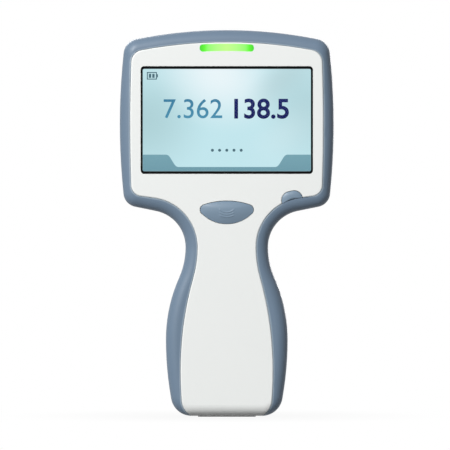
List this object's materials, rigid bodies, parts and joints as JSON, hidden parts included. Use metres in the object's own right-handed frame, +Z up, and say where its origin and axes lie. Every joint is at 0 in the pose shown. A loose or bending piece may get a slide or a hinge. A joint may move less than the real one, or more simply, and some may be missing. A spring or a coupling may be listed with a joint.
{
  "type": "handheld blood gas analyzer",
  "caption": "Hand-held blood gas analyzer: wide head with a lit touch screen on a waisted grip that stands on a flat base, with a cartridge port underneath and a removable battery pack behind.",
  "frame": {"origin": "middle of the base, on the surface that the feet stand on", "axes": "+X to the user's right, -Y out of the screen towards the user, +Z up from the base to the head"},
  "size_m": [0.137, 0.0715, 0.2476],
  "materials": {
    "housing_white": "fine moulded texture",
    "rail_grey": "soft satin overmould",
    "housing_back": "fine moulded texture",
    "seal": "moulded silicone",
    "steel_screw": "zinc plated",
    "plug_grey": "moulded",
    "foot_rubber": "matte rubber",
    "gasket_black": "matte black",
    "touch_glass": "polished",
    "display": "lit screen",
    "tray_steel": "stamped sheet",
    "ribbon_amber": "polyimide film",
    "light_green": "frosted light guide",
    "led_white": "moulded",
    "board_green": "solder mask",
    "button_grey": "satin",
    "dome_silicone": "translucent silicone",
    "bezel_dark": "moulded",
    "guide_black": "glass-filled",
    "heater_aluminium": "machined",
    "switch_black": "moulded",
    "contact_gold": "gold plated",
    "pack_grey": "fine moulded texture",
    "cell_wrap": "shrink sleeve",
    "spring_steel": "spring temper",
    "chip_black": "epoxy",
    "shield_tin": "tin plated",
    "connector_ivory": "moulded",
    "coin_steel": "polished steel",
    "label_film": "satin polyester film",
    "speaker_black": "moulded",
    "imager_black": "moulded",
    "lens_glass": "coated",
    "window_smoke": "polished",
    "chassis_steel": "stamped sheet",
    "rod_steel": "ground",
    "motor_can": "drawn steel",
    "pinion_brass": "turned",
    "gear_acetal": "moulded acetal",
    "carriage_grey": "moulded",
    "block_ivory": "moulded",
    "plunger_white": "moulded",
    "sensor_black": "moulded"
  },
  "bodies": {
    "analyzer": {"front_housing": "housing_white", "side_rail": "rail_grey", "back_housing": "housing_back", "housing_seal": "seal", "housing_screws": "steel_screw", "screw_plugs": "plug_grey", "base_feet": "foot_rubber", "screen_gasket": "gasket_black", "touch_glass": "touch_glass", "display_panel": "display", "display_frame": "tray_steel", "display_flex": "ribbon_amber", "base_flex": "ribbon_amber", "light_bar": "light_green", "status_leds": "led_white", "light_board": "board_green", "button_board": "board_green", "main_board": "board_green", "power_board": "board_green", "scan_dome": "dome_silicone", "power_dome": "dome_silicone", "port_bezel": "bezel_dark", "cartridge_guide": "guide_black", "heater_plate": "heater_aluminium", "end_stop_switch": "switch_black", "dock_contacts": "contact_gold", "battery_catches": "spring_steel", "battery_terminals": "contact_gold", "board_chips": "chip_black", "processor_shield": "shield_tin", "board_connectors": "connector_ivory", "radio_module": "shield_tin", "coin_cell": "coin_steel", "board_screws": "steel_screw", "rating_label": "label_film", "speaker": "speaker_black", "imager_body": "imager_black", "imager_lens": "lens_glass", "imager_window": "window_smoke", "mechanism_chassis": "chassis_steel", "chassis_screws": "steel_screw", "guide_rods": "rod_steel", "drive_motor": "motor_can", "gear_axle": "rod_steel", "home_sensor": "sensor_black"},
    "scan_key": {"scan_button": "button_grey"},
    "power_key": {"power_button": "button_grey"},
    "battery_pack": {"battery_case": "pack_grey", "battery_lid": "pack_grey", "battery_contacts": "contact_gold", "battery_cells": "cell_wrap"},
    "motor_rotor": {"motor_pinion": "pinion_brass"},
    "gear_train": {"drive_gear": "gear_acetal"},
    "press": {"press_carriage": "carriage_grey", "contact_block": "block_ivory", "contact_pins": "contact_gold", "calibrant_plunger": "plunger_white", "sample_plunger": "plunger_white"}
  },
  "joints": [
    {"name": "scan_press", "type": "slide", "parent": "analyzer", "child": "scan_key", "axis": [0, 1, 0], "range_m": [0, 0.001], "stiffness_N_per_m": 1500, "springref_m": -0.001, "deforming": ["scan_dome"]},
    {"name": "power_press", "type": "slide", "parent": "analyzer", "child": "power_key", "axis": [0, 1, 0], "range_m": [0, 0.0008], "stiffness_N_per_m": 1500, "springref_m": -0.001, "deforming": ["power_dome"]},
    {"name": "battery_slide", "type": "slide", "parent": "analyzer", "child": "battery_pack", "axis": [0, 1, 0], "range_m": [0, 0.03], "deforming": ["battery_catches"]},
    {"name": "press_stroke", "type": "slide", "parent": "analyzer", "child": "press", "axis": [0, 1, 0], "range_m": [0, 0.0048]},
    {"name": "gear_turn", "type": "hinge", "parent": "analyzer", "child": "gear_train", "pos_m": [0, -0.016, 0.0575], "axis": [1, 0, 0], "range_deg": [0, 92]},
    {"name": "motor_turn", "type": "hinge", "parent": "analyzer", "child": "motor_rotor", "pos_m": [0, -0.016, 0.0695], "axis": [1, 0, 0], "range_deg": [-276, 0]}
  ],
  "couplings": [
    {"joint": "gear_turn", "follows": "press_stroke", "rad_per_m": 333.33},
    {"joint": "motor_turn", "follows": "press_stroke", "rad_per_m": -1000}
  ]
}
